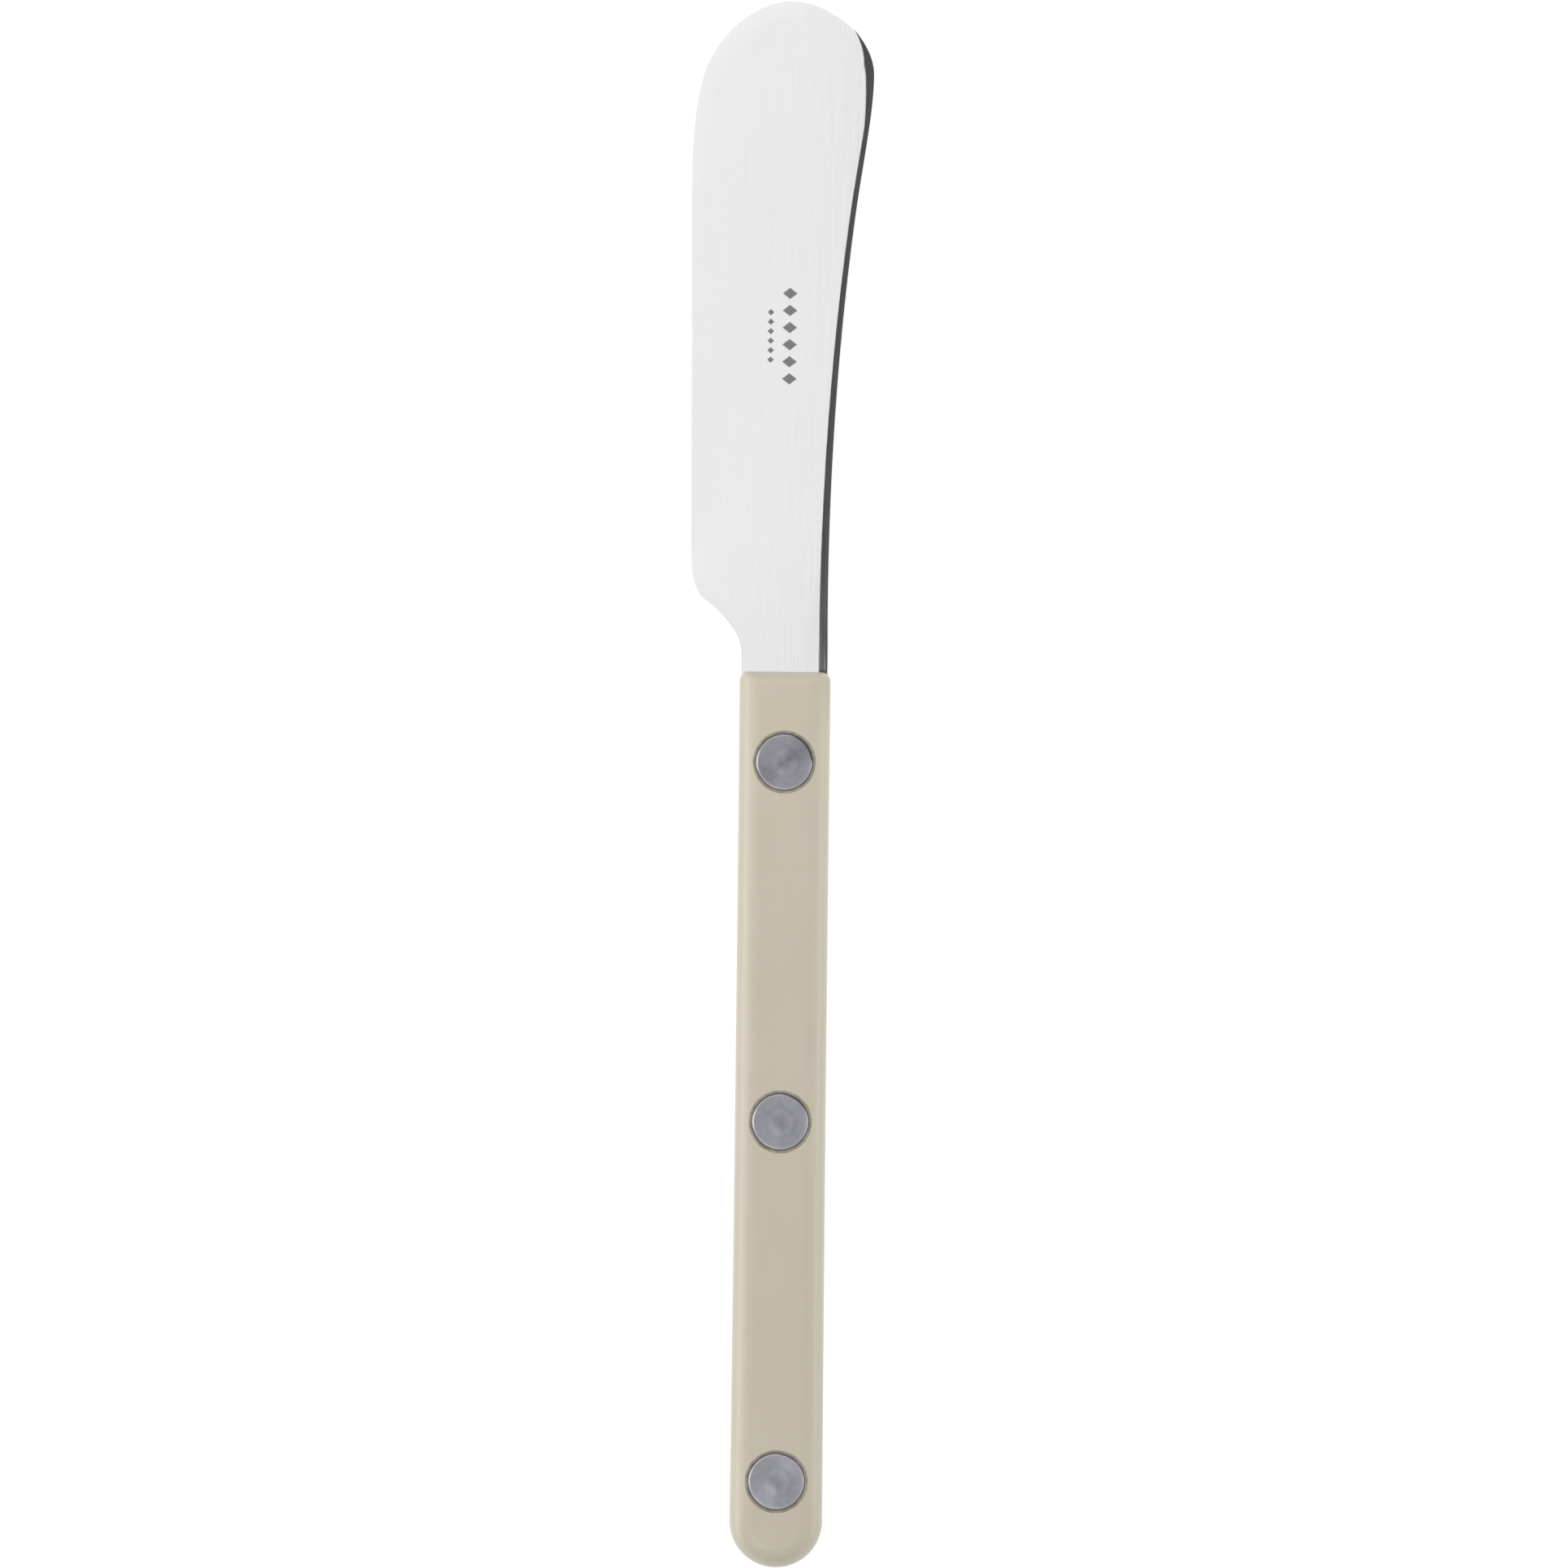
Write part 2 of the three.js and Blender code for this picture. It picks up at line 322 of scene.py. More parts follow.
def half_thickness(points):
    """Half the blade's thickness: flat on the neck, then ground towards the edge and the tip."""
    x, y = points[:, 0], points[:, 1]
    ground = SHEET / 2 - TAPER_ACROSS * (TANG_HALF - x) - TAPER_ALONG * (y - GRIND_START)
    roll = EDGE_ROLL * np.clip(1 - edge_distance(points) / EDGE_BAND, 0, 1) ** 2
    share = smooth_step((y - NECK_END) / GRIND_BLEND)
    return np.minimum(SHEET / 2, SHEET / 2 + share * (ground - roll - SHEET / 2))


def add_rim(shell, ring, outline, inward, height):
    """Rings from the outline at the middle of the sheet over the rounded rim. Returns the last ring."""
    for step in range(1, RIM_STEPS + 1):
        angle = step / RIM_STEPS * math.pi / 2
        across = outline + inward * (1 - math.cos(angle))
        next_ring = shell.add(np.column_stack([across, height * math.sin(angle)]))
        shell.bridge(ring, next_ring)
        ring = next_ring
    return ring


def add_ground_face(shell, right, left, tip, side):
    """Rows of points from the spine to the edge, and their faces up to the tip. Returns the first row."""
    rows = []
    for a, b in zip(right, left):
        start, end = (np.array(shell.points[k][:2]) for k in (a, b))
        between = start + (end - start) * COLUMNS[1:-1, None]
        z = side * half_thickness(between)
        rows.append([a, *shell.add(np.column_stack([between, z])), b])
    for lower, upper in zip(rows, rows[1:]):
        for c in range(len(COLUMNS) - 1):
            shell.faces.append((lower[c], lower[c + 1], upper[c + 1], upper[c]))
    for a, b in zip(rows[-1], rows[-1][1:]):
        shell.faces.append((a, b, tip))
    return rows[0]


def make_blade():
    """The blade and tang: a rounded rim, a ground face and a flat tang with three holes on each side."""
    stations = blade_stations()
    outline, normal = blade_outline(stations)
    inward = -normal * rim_depths(stations)[:, None]
    height = half_thickness(outline + inward)
    count = len(stations)
    first_row = BUTT_STEPS + TANG_STEPS - 1  # stations before this one lie on the tang
    shell = Shell()
    middle = shell.add(np.column_stack([outline, np.zeros(len(outline))]))
    both_holes = []
    for side in (1, -1):
        ring = add_rim(shell, middle, outline, inward, side * height)
        right = ring[1:count + 1]
        left = ring[:count + 1:-1]
        row = add_ground_face(shell, right[first_row:], left[first_row:], ring[count + 1], side)
        holes = [shell.add(circle(y, BARREL_RADIUS + CLEARANCE, side * SHEET / 2)) for y in RIVETS.values()]
        shell.fill([ring[0], *right[:first_row], *row, *left[:first_row][::-1]], holes)
        both_holes.append(holes)
    for top, bottom in zip(*both_holes):
        shell.bridge(top, bottom)
    return shell.to_object("blade_finished")


# ---- handle scales ----


def half_width(y, inset=0.0):
    """Half a scale's width at distances from the butt, beyond the butt's round end."""
    butt, waist, front = (width / 2 - inset for width in (BUTT_WIDTH, WAIST_WIDTH, FRONT_WIDTH))
    start = BUTT_WIDTH / 2
    t = np.clip((np.asarray(y, float) - start) / (HANDLE_LENGTH - SCALE_CORNER - start), 0, 1)
    pull = 2 * waist - (butt + front) / 2
    return (1 - t) ** 2 * butt + 2 * t * (1 - t) * pull + t**2 * front


def side_stations():
    """Distances from the butt of the points on a scale's sides: each patch round a rivet starts on one."""
    stops = [BUTT_WIDTH / 2]
    for y in RIVETS.values():
        stops += [y - PATCH_HALF, y + PATCH_HALF]
    stops.append(HANDLE_LENGTH - 3 * SCALE_CORNER)
    stations = [stops[0]]
    for low, high in zip(stops, stops[1:]):
        stations += list(np.linspace(low, high, max(2, round((high - low) / STATION_PITCH)) + 1)[1:])
    return np.array(stations)


def scale_outline(inset):
    """Points round a scale, drawn in from its widest by an inset: right side, front end, left side, butt."""
    stations = side_stations()
    end = HANDLE_LENGTH - inset * FRONT_ROUND / SCALE_ROUND
    corner = SCALE_CORNER * (1 - inset / SCALE_ROUND / 2)
    side = np.column_stack([half_width(stations, inset), stations])
    front = half_width(HANDLE_LENGTH, inset)
    turn = np.linspace(0, math.pi / 2, CORNER_POINTS)
    corner_x = front - corner + corner * np.cos(turn)
    corner_y = end - corner + corner * np.sin(turn)
    round_corner = np.column_stack([corner_x, corner_y])
    across = np.linspace(round_corner[-1, 0], 0, FRONT_POINTS + 1)[1:]
    front_edge = np.column_stack([across, np.full(FRONT_POINTS, end)])
    right = np.vstack([side, round_corner, front_edge])
    left = right[-2::-1] * (-1, 1)
    sweep = np.linspace(math.pi, 2 * math.pi, ARC_STEPS + 1)[1:-1]
    butt = half_width(BUTT_WIDTH / 2, inset)
    butt_arc = np.column_stack([butt * np.cos(sweep), BUTT_WIDTH / 2 + butt * np.sin(sweep)])
    return np.vstack([right, left, butt_arc])


def rounded_height(x, y):
    """Height of a scale's outer face over its long, straight stretch."""
    inset = half_width(y) - np.abs(x)
    short = np.clip(SCALE_ROUND - inset, 0, SCALE_ROUND)
    return SCALE_OUTER - SCALE_ROUND + np.sqrt(SCALE_ROUND**2 - short**2)


def ring_patch(shell, border, y, side):
    """Quads between a closed border and a rivet hole, and rings down the hole. Returns the last ring."""
    hole = HEAD_RADIUS + HEAD_GAP
    shank = BARREL_RADIUS + CLEARANCE
    at_border = np.array([shell.points[i][:2] for i in border])
    angles = np.arctan2(at_border[:, 1] - y, at_border[:, 0])
    round_hole = np.column_stack([np.cos(angles), np.sin(angles)])
    mouth = round_hole * (hole + HOLE_FILLET) + (0, y)
    ring = border
    for step in range(1, PATCH_STEPS + 1):
        share = 1 - (1 - step / PATCH_STEPS) ** 1.4  # closer together towards the hole
        between = at_border + (mouth - at_border) * share
        height = rounded_height(between[:, 0], between[:, 1])
        next_ring = shell.add(np.column_stack([between, side * height]))
        shell.bridge(ring, next_ring)
        ring = next_ring
    for step in range(1, FILLET_STEPS + 1):
        angle = step / FILLET_STEPS * math.pi / 2
        across = round_hole * (hole + HOLE_FILLET * (1 - math.sin(angle))) + (0, y)
        height = rounded_height(across[:, 0], across[:, 1]) - HOLE_FILLET * (1 - math.cos(angle))
        next_ring = shell.add(np.column_stack([across, side * height]))
        shell.bridge(ring, next_ring)
        ring = next_ring
    for radius, z in ((hole, HEAD_SEAT), (shank, HEAD_SEAT), (shank, SCALE_INNER)):
        across = round_hole * radius + (0, y)
        next_ring = shell.add(np.column_stack([across, np.full(len(across), side * z)]))
        shell.bridge(ring, next_ring)
        ring = next_ring
    return ring


def scale_rings():
    """(inset, height) of each ring over a scale's inner fillet, side and rounded outer edge."""
    rings = []
    for step in range(FILLET_STEPS + 1):
        angle = step / FILLET_STEPS * math.pi / 2
        height = SCALE_INNER + INNER_FILLET * (1 - math.cos(angle))
        rings.append((INNER_FILLET * (1 - math.sin(angle)), height))
    for step in range(ROUND_STEPS + 1):
        angle = step / ROUND_STEPS * math.pi / 2
        height = SCALE_OUTER - SCALE_ROUND * (1 - math.sin(angle))
        rings.append((SCALE_ROUND * (1 - math.cos(angle)), height))
    return rings


def add_outer_rows(shell, open_rings, twins, side):
    """Rows across the outer face, one for each station: twins is a station's index plus its left twin's."""
    rows = []
    for i, y in enumerate(side_stations()):
        right = [ring[i] for ring in open_rings]
        left = [ring[twins - i] for ring in open_rings][::-1]
        edge = half_width(y, SCALE_ROUND)
        xs = np.linspace(edge, -edge, FLAT_COLUMNS + 1)[1:-1]
        rows.append(right + shell.add([(x, y, side * SCALE_OUTER) for x in xs]) + left)
    return rows


def add_outer_face(shell, rows, side):
    """Quads between the rows, and a patch with a hole round each rivet. Returns the holes' last rings."""
    stations = side_stations()
    reach = PATCH_HALF + 1e-6  # a little more, because stations lie exactly on the patches' ends
    patches = {y: [i for i, s in enumerate(stations) if abs(s - y) < reach] for y in RIVETS.values()}
    covered = {i for inside in patches.values() for i in inside[:-1]}
    for i in range(len(rows) - 1):
        if i in covered:
            continue
        for a, b, c, d in zip(rows[i], rows[i][1:], rows[i + 1][1:], rows[i + 1]):
            shell.faces.append((a, b, c, d))
    holes = []
    for y, inside in patches.items():
        right = [rows[i][0] for i in inside]
        left = [rows[i][-1] for i in reversed(inside)]
        border = right + rows[inside[-1]][1:-1] + left + rows[inside[0]][-2:0:-1]
        holes.append(ring_patch(shell, border, y, side))
    return holes


def add_ends(shell, open_rings, twins, rows):
    """The bands round the front end and round the butt, and the flat areas that they enclose."""
    total = len(open_rings[0])
    last = len(rows) - 1
    front = range(last, twins - last)
    butt = [*range(twins, total), 0]
    for a, b in zip(open_rings, open_rings[1:]):
        for i in [*front, *butt[:-1]]:
            j = (i + 1) % total
            shell.faces.append((a[i], a[j], b[j], b[i]))
    top = open_rings[-1]
    flat = slice(OPEN_BANDS + 1, -OPEN_BANDS - 1)
    shell.fill([top[i] for i in front] + [top[twins - last]] + rows[last][flat][::-1])
    shell.fill([top[i] for i in butt] + rows[0][flat])


def make_scale(name, side):
    """A handle scale: side is 1 for the front and -1 for the back."""
    shell = Shell()
    rings = []
    for inset, z in scale_rings():
        points = scale_outline(inset)
        rings.append(shell.add(np.column_stack([points, np.full(len(points), side * z)])))
    first_open = len(rings) - 1 - OPEN_BANDS  # the bands inside this ring are broken by the rivets
    for a, b in zip(rings[:first_open], rings[1:]):
        shell.bridge(a, b)
    twins = 2 * (len(side_stations()) - 1 + CORNER_POINTS + FRONT_POINTS)
    rows = add_outer_rows(shell, rings[first_open:], twins, side)
    holes = add_outer_face(shell, rows, side)
    add_ends(shell, rings[first_open:], twins, rows)
    shell.fill(rings[0], holes)
    return shell.to_object(name)


# ---- rivets ----


def head_profile():
    """The outer half of a rivet head as (radius, height): a faintly crowned face and a bevelled rim."""
    inner_round, outer_round = HEAD_BEVEL_ROUNDS
    sine, cosine = math.sin(HEAD_BEVEL_ANGLE), math.cos(HEAD_BEVEL_ANGLE)
    bevel_width = inner_round * sine + HEAD_BEVEL * cosine + outer_round * (1 - sine)
    flat = HEAD_RADIUS - bevel_width
    face = []
    for r in np.linspace(0, flat, FACE_STEPS + 1)[1:]:
        # the crown is level in the middle and ends inside the rim
        drop = smooth_step((r / flat - 0.12) / 0.5)
        face.append((r, HEAD_FACE - HEAD_CROWN * drop))
    r, z = face[-1]
    for angle in np.linspace(0, HEAD_BEVEL_ANGLE, BEVEL_STEPS + 1)[1:]:
        face.append((r + inner_round * math.sin(angle), z - inner_round * (1 - math.cos(angle))))
    r, z = face[-1][0] + HEAD_BEVEL * cosine, face[-1][1] - HEAD_BEVEL * sine
    for angle in np.linspace(HEAD_BEVEL_ANGLE, math.pi / 2, BEVEL_STEPS + 1):
        out, down = math.sin(angle) - sine, cosine - math.cos(angle)
        face.append((r + outer_round * out, z - outer_round * down))
    face.append((HEAD_RADIUS, HEAD_SEAT))
    return face


def turn_rivet(name, y, side, shank):
    """A rivet half: its head, then the (radius, height) profile of its shank, which ends on the axis."""
    shell = Shell()
    centre = shell.add([(0, y, side * HEAD_FACE)])[0]
    rings = [shell.add(circle(y, radius, side * z)) for radius, z in head_profile() + shank[:-1]]
    shell.fan(centre, rings[0])
    for a, b in zip(rings, rings[1:]):
        shell.bridge(a, b)
    shell.fan(shell.add([(0, y, side * shank[-1][1])])[0], rings[-1])
    return shell.to_object(name)


def make_stud(place):
    """The front half of a rivet: a head and a pin."""
    shank = [(PIN_RADIUS, HEAD_SEAT), (PIN_RADIUS, PIN_END), (0, PIN_END)]
    return turn_rivet(f"{place}_rivet_stud_finished", RIVETS[place], 1, shank)


def make_socket(place):
    """The back half of a rivet: a head and a hollow barrel that takes the pin."""
    bore = PIN_RADIUS + CLEARANCE
    mouth = -BARREL_MOUTH
    outside = [(BARREL_RADIUS, HEAD_SEAT), (BARREL_RADIUS, mouth)]
    inside = [(bore, mouth), (bore, HEAD_SEAT), (0, HEAD_SEAT)]
    return turn_rivet(f"{place}_rivet_socket_finished", RIVETS[place], -1, outside + inside)


# ---- materials ----


class Nodes:
    """Short calls for building a shader."""

    def __init__(self, tree):
        self.tree = tree

    def add(self, kind, inputs=None, **settings):
        """A node with its settings and its inputs, which are values or other nodes' outputs."""
        node = self.tree.nodes.new(kind)
        for key, value in settings.items():
            setattr(node, key, value)
        for key, value in (inputs or {}).items():
            self.put(node.inputs[key], value)
        return node

    def put(self, socket, value):
        """Links another node's output to a socket, or sets the socket to a value."""
        if isinstance(value, bpy.types.NodeSocket):
            self.tree.links.new(value, socket)
        else:
            socket.default_value = value

    def math(self, operation, a, b=0.0):
        """The result of one calculation with a and b."""
        return self.add("ShaderNodeMath", {0: a, 1: b}, operation=operation).outputs[0]

    def spread(self, value, low, high, to_low, to_high):
        """value from low..high mapped smoothly onto to_low..to_high."""
        inputs = {"Value": value, "From Min": low, "From Max": high, "To Min": to_low, "To Max": to_high}
        return self.add("ShaderNodeMapRange", inputs, interpolation_type="SMOOTHSTEP").outputs["Result"]

    def noise(self, place, scale, detail=2.0, roughness=0.5):
        """Cloudy noise from 0 to 1."""
        inputs = {"Vector": place, "Scale": scale, "Detail": detail, "Roughness": roughness}
        return self.add("ShaderNodeTexNoise", inputs).outputs["Fac"]

    def blend(self, share, a, b):
        """Colour a where share is 0 and b where it is 1."""
        node = self.add("ShaderNodeMix", {"Factor": share}, data_type="RGBA")
        self.put(node.inputs[6], a)
        self.put(node.inputs[7], b)
        return node.outputs[2]

    def place(self, centre, scale):
        """Object coordinates in millimetres from a centre, stretched by a scale along each axis."""
        at = to_frame([centre])[0]
        factor = [s / MM for s in scale]
        shift = [-a * f for a, f in zip(at, factor)]
        coordinates = self.add("ShaderNodeTexCoord").outputs["Object"]
        inputs = {"Vector": coordinates, "Location": shift, "Scale": factor}
        return self.add("ShaderNodeMapping", inputs, vector_type="POINT").outputs["Vector"]

    def bump(self, height, distance, under=None):
        """Relief of a depth in millimetres, on top of the relief under it."""
        inputs = {"Height": height, "Distance": distance * MM, "Strength": 1.0}
        if under is not None:
            inputs["Normal"] = under
        return self.add("ShaderNodeBump", inputs).outputs["Normal"]


def new_material(name):
    """A material with one principled surface, still to be filled in."""
    material = bpy.data.materials.new(name)
    material.use_nodes = True
    tree = material.node_tree
    tree.nodes.clear()
    nodes = Nodes(tree)
    surface = nodes.add("ShaderNodeBsdfPrincipled")
    output = nodes.add("ShaderNodeOutputMaterial")
    tree.links.new(surface.outputs[0], output.inputs["Surface"])
    return material, nodes, surface


def lozenges(nodes, x, y, row_x, length, pitch, half_across):
    """A row of small lozenges along the blade, at row_x from its axis: 1 inside them and 0 outside."""
    along = nodes.math("ABSOLUTE", y)
    turns = nodes.math("FRACT", nodes.math("DIVIDE", y, pitch))
    phase = nodes.math("ABSOLUTE", nodes.math("SUBTRACT", turns, 0.5))
    across = nodes.math("DIVIDE", nodes.math("ABSOLUTE", nodes.math("SUBTRACT", x, row_x)), half_across)
    reach = nodes.math("ADD", across, nodes.math("MULTIPLY", phase, 2.9))
    inside = nodes.spread(reach, 0.85, 1.05, 1.0, 0.0)
    return nodes.math("MULTIPLY", inside, nodes.math("LESS_THAN", along, length / 2))


def etched_mark(nodes):
    """A plain ornament in two rows, 1 where the steel is etched."""
    place = nodes.add("ShaderNodeSeparateXYZ", {0: nodes.place((0, MARK_Y, 0), (1, 1, 1))})
    x, y, z = (place.outputs[i] for i in range(3))
    long_row = lozenges(nodes, x, y, row_x=0.1, length=10.8, pitch=1.8, half_across=0.8)
    short_row = lozenges(nodes, x, y, row_x=-1.9, length=6.0, pitch=1.0, half_across=0.36)
    both = nodes.math("MAXIMUM", long_row, short_row)
    return nodes.math("MULTIPLY", both, nodes.math("GREATER_THAN", z, 0.0))


def ground_tang_and_left_shade(nodes):
    """1 on the tang, which is ground; on surfaces that face left, painted shade, full at the handle and half
    from 14 mm along the blade; else 0.
    """
    place = nodes.add("ShaderNodeSeparateXYZ", {0: nodes.place((0, HANDLE_LENGTH, 0), (1, 1, 1))})
    along = place.outputs[1]
    normal = nodes.add("ShaderNodeSeparateXYZ", {0: nodes.add("ShaderNodeTexCoord").outputs["Normal"]})
    # painted shade: surfaces that face left are darkened by the way they face
    facing_left = nodes.spread(normal.outputs[0], -0.8, -0.3, 1.0, 0.0)
    left_shade = nodes.math("MULTIPLY", nodes.spread(along, 0.0, 14.0, 1.0, 0.5), facing_left)
    return nodes.math("MAXIMUM", nodes.spread(along, -0.8, 0.2, 1.0, 0.0), left_shade)


def polished_steel():
    """The blade: polished along its length, with fine scratches, an etched ornament, a ground tang and
    painted shade on its sides that face left.
    """
    material, nodes, surface = new_material("polished_steel")
    grain = nodes.noise(nodes.place((0, 0, 0), (9, 0.12, 9)), 1.0, 3.0, 0.6)
    cloud = nodes.noise(nodes.place((0, 0, 0), (0.12, 0.06, 0.12)), 1.0, 2.0)
    scratch = nodes.noise(nodes.place((3, 7, 0), (2.6, 0.05, 2.6)), 1.0, 6.0, 0.75)
    fine = nodes.spread(scratch, 0.66, 0.74, 0.0, 1.0)
    mark = etched_mark(nodes)
    ground = ground_tang_and_left_shade(nodes)
    steel = nodes.blend(cloud, (0.80, 0.80, 0.805, 1), (0.83, 0.83, 0.833, 1))
    steel = nodes.blend(nodes.math("MULTIPLY", grain, 0.35), steel, (0.77, 0.77, 0.78, 1))
    dull_and_shaded = nodes.blend(grain, (0.34, 0.335, 0.33, 1), (0.52, 0.515, 0.51, 1))
    # dull steel on the ground tang, and painted shade on the sides that face left
    steel = nodes.blend(ground, steel, dull_and_shaded)
    nodes.put(surface.inputs["Base Color"], nodes.blend(mark, steel, (0.27, 0.265, 0.265, 1)))
    nodes.put(surface.inputs["Metallic"], 1.0)
    rough = nodes.spread(grain, 0.3, 0.7, 0.12, 0.18)
    for share, extra in ((fine, 0.08), (mark, 0.4), (ground, 0.16)):
        rough = nodes.math("ADD", rough, nodes.math("MULTIPLY", share, extra))
    nodes.put(surface.inputs["Roughness"], rough)
    lines = nodes.bump(grain, 0.0006)
    lines = nodes.bump(fine, -0.0015, under=lines)
    nodes.put(surface.inputs["Normal"], nodes.bump(mark, -0.01, under=lines))
    return material


def rivet_seam_shade_and_dirt(nodes):
    """Painted shade with patchy dirt in the seam round each rivet: 0 away from it, and most at the hole's
    mouth.
    """
    first = RIVETS["lower"]
    spacing = RIVETS["middle"] - first
    place = nodes.add("ShaderNodeSeparateXYZ", {0: nodes.place((0, first, 0), (1, 1, 1))})
    turns = nodes.math("ADD", nodes.math("DIVIDE", place.outputs[1], spacing), 0.5)
    along = nodes.math("MULTIPLY", nodes.math("SUBTRACT", nodes.math("FRACT", turns), 0.5), spacing)
    flat = nodes.add("ShaderNodeCombineXYZ", {0: place.outputs[0], 1: along}).outputs[0]
    radius = nodes.add("ShaderNodeVectorMath", {0: flat}, operation="LENGTH").outputs["Value"]
    patchy = nodes.spread(nodes.noise(nodes.place((0, 0, 0), (1, 1, 1)), 1.3, 3.0), 0.3, 0.7, 0.6, 0.95)
    near = nodes.spread(radius, HEAD_RADIUS + 0.24, HEAD_RADIUS + 0.38, 1.0, 0.0)
    return nodes.math("MULTIPLY", near, patchy)


def handle_plastic():
    """The scales: mottled beige with specks, painted shade with dirt round the rivets, a soft skin and fine
    rub marks along the handle.
    """
    material, nodes, surface = new_material("beige_plastic")
    mottle = nodes.noise(nodes.place((0, 0, 0), (0.25, 0.12, 0.25)), 1.0, 4.0, 0.55)
    speck = nodes.noise(nodes.place((0, 0, 0), (5, 5, 5)), 1.0, 3.0, 0.6)
    skin = nodes.noise(nodes.place((0, 0, 0), (1.6, 1.2, 1.6)), 1.0, 2.0)
    rub = nodes.noise(nodes.place((2, 5, 1), (3.2, 0.25, 3.2)), 1.0, 5.0, 0.7)
    colour = nodes.blend(mottle, (0.475, 0.432, 0.335, 1), (0.52, 0.478, 0.378, 1))
    colour = nodes.blend(nodes.spread(speck, 0.4, 0.7, 0.0, 0.12), colour, (0.42, 0.375, 0.285, 1))
    # painted shade, patchy like dirt, in the seams round the rivets
    colour = nodes.blend(rivet_seam_shade_and_dirt(nodes), colour, (0.18, 0.155, 0.125, 1))
    nodes.put(surface.inputs["Base Color"], colour)
    rough = nodes.spread(mottle, 0.3, 0.7, 0.3, 0.36)
    rough = nodes.math("ADD", rough, nodes.spread(rub, 0.6, 0.75, 0.0, 0.07))
    nodes.put(surface.inputs["Roughness"], rough)
    nodes.put(surface.inputs["IOR"], 1.49)
    bumps = nodes.bump(skin, 0.004)
    bumps = nodes.bump(speck, 0.0015, under=bumps)
    bumps = nodes.bump(nodes.spread(rub, 0.62, 0.72, 0.0, 1.0), -0.0015, under=bumps)
    nodes.put(surface.inputs["Normal"], bumps)
    return material


def rivet_steel(place):
    """Steel turned on a lathe: fine rings about the rivet's own axis, painted shade in the middle of the face
    and a painted sheen on the bevel.
    """
    material, nodes, surface = new_material(f"turned_steel_{place}")
    here = nodes.place((0, RIVETS[place], 0), (1, 1, 0.0001))
    radius = nodes.add("ShaderNodeVectorMath", {0: here}, operation="LENGTH").outputs["Value"]
    rings = nodes.add("ShaderNodeCombineXYZ", {0: radius})
    groove = nodes.noise(rings.outputs[0], 9.0, 4.0, 0.65)
    broad = nodes.noise(rings.outputs[0], 1.4, 1.0)
    cloud = nodes.noise(here, 0.9, 3.0, 0.6)
    colour = nodes.blend(broad, (0.245, 0.245, 0.28, 1), (0.35, 0.35, 0.378, 1))
    colour = nodes.blend(nodes.spread(cloud, 0.35, 0.7, 0.0, 0.45), colour, (0.21, 0.21, 0.24, 1))
    # painted shade: the face gets darker towards its middle
    colour = nodes.blend(nodes.spread(radius, 0.2, 1.0, 0.35, 0.0), colour, (0.17, 0.17, 0.2, 1))
    # painted sheen: a lighter ring on the bevel round the face
    bevel_sheen = nodes.spread(radius, HEAD_RADIUS - 0.3, HEAD_RADIUS - 0.2, 0.0, 0.65)
    colour = nodes.blend(bevel_sheen, colour, (0.52, 0.52, 0.54, 1))
    nodes.put(surface.inputs["Base Color"], colour)
    nodes.put(surface.inputs["Metallic"], 1.0)
    nodes.put(surface.inputs["Roughness"], nodes.spread(groove, 0.3, 0.7, 0.26, 0.38))
    nodes.put(surface.inputs["Anisotropic"], 0.8)
    outward = nodes.add("ShaderNodeVectorMath", {0: here}, operation="NORMALIZE").outputs["Vector"]
    nodes.put(surface.inputs["Tangent"], outward)
    nodes.put(surface.inputs["Normal"], nodes.bump(groove, 0.004))
    return material


# ---- pieces ----


def finish_piece(piece, material, node):
    """Gives a piece its material and puts it in the place of a CAD node."""
    piece.data.materials.append(material)
    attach(piece, "root")
    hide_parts(node)


def build_knife():
    """All nine pieces."""
    plastic = handle_plastic()
    finish_piece(make_blade(), polished_steel(), "blade")
    finish_piece(make_scale("front_scale_finished", 1), plastic, "front_scale")
    finish_piece(make_scale("back_scale_finished", -1), plastic, "back_scale")
    for place in RIVETS:
        steel = rivet_steel(place)
        finish_piece(make_stud(place), steel, f"{place}_rivet_stud")
        finish_piece(make_socket(place), steel, f"{place}_rivet_socket")


# ---- studio ----


def glow_material(name, colour, strength):
    """A surface that only gives off light."""
    material = bpy.data.materials.new(name)
    material.use_nodes = True
    material.node_tree.nodes.clear()
    nodes = Nodes(material.node_tree)
    glow = nodes.add("ShaderNodeEmission", {"Color": (*colour, 1), "Strength": strength})
    output = nodes.add("ShaderNodeOutputMaterial")
    material.node_tree.links.new(glow.outputs[0], output.inputs["Surface"])
    return material


def seen_by(thing, camera=False, reflections=False):
    """Leaves a glowing thing out of the light that falls on the knife, and shows it only as said."""
    thing.visible_camera = camera
    thing.visible_glossy = reflections
    thing.visible_diffuse = False
    thing.visible_shadow = False
    thing.visible_transmission = False


def rectangle(width, height):
    """Corners and face of a rectangle that lies flat about the origin."""
    x, y = width / 2, height / 2
    return [(-x, -y, 0), (x, -y, 0), (x, y, 0), (-x, y, 0)], [(0, 1, 2, 3)]


def make_flag():
    """A black sheet beside the blade that shows only in reflections: it darkens the rounded spine."""
    low_y = 0.007
    high_y = 0.076  # where a line at 45 degrees from the tip's shoulder starts
    # (x, height) of the sheet, which bends up and back over the blade
    section = [(0.012, 0.0006), (0.09, 0.0006), (0.11, 0.05), (0.07, 0.10), (0.012, 0.125)]
    points = [(x, y, z) for x, z in section for y in (low_y, high_y + x)]
    faces = [(2 * i, 2 * i + 1, 2 * i + 3, 2 * i + 2) for i in range(len(section) - 1)]
    flag = new_object("black_flag", points, faces)
    flag.data.materials.append(glow_material("black_cloth", (0.075, 0.075, 0.08), 1.0))
    seen_by(flag, reflections=True)


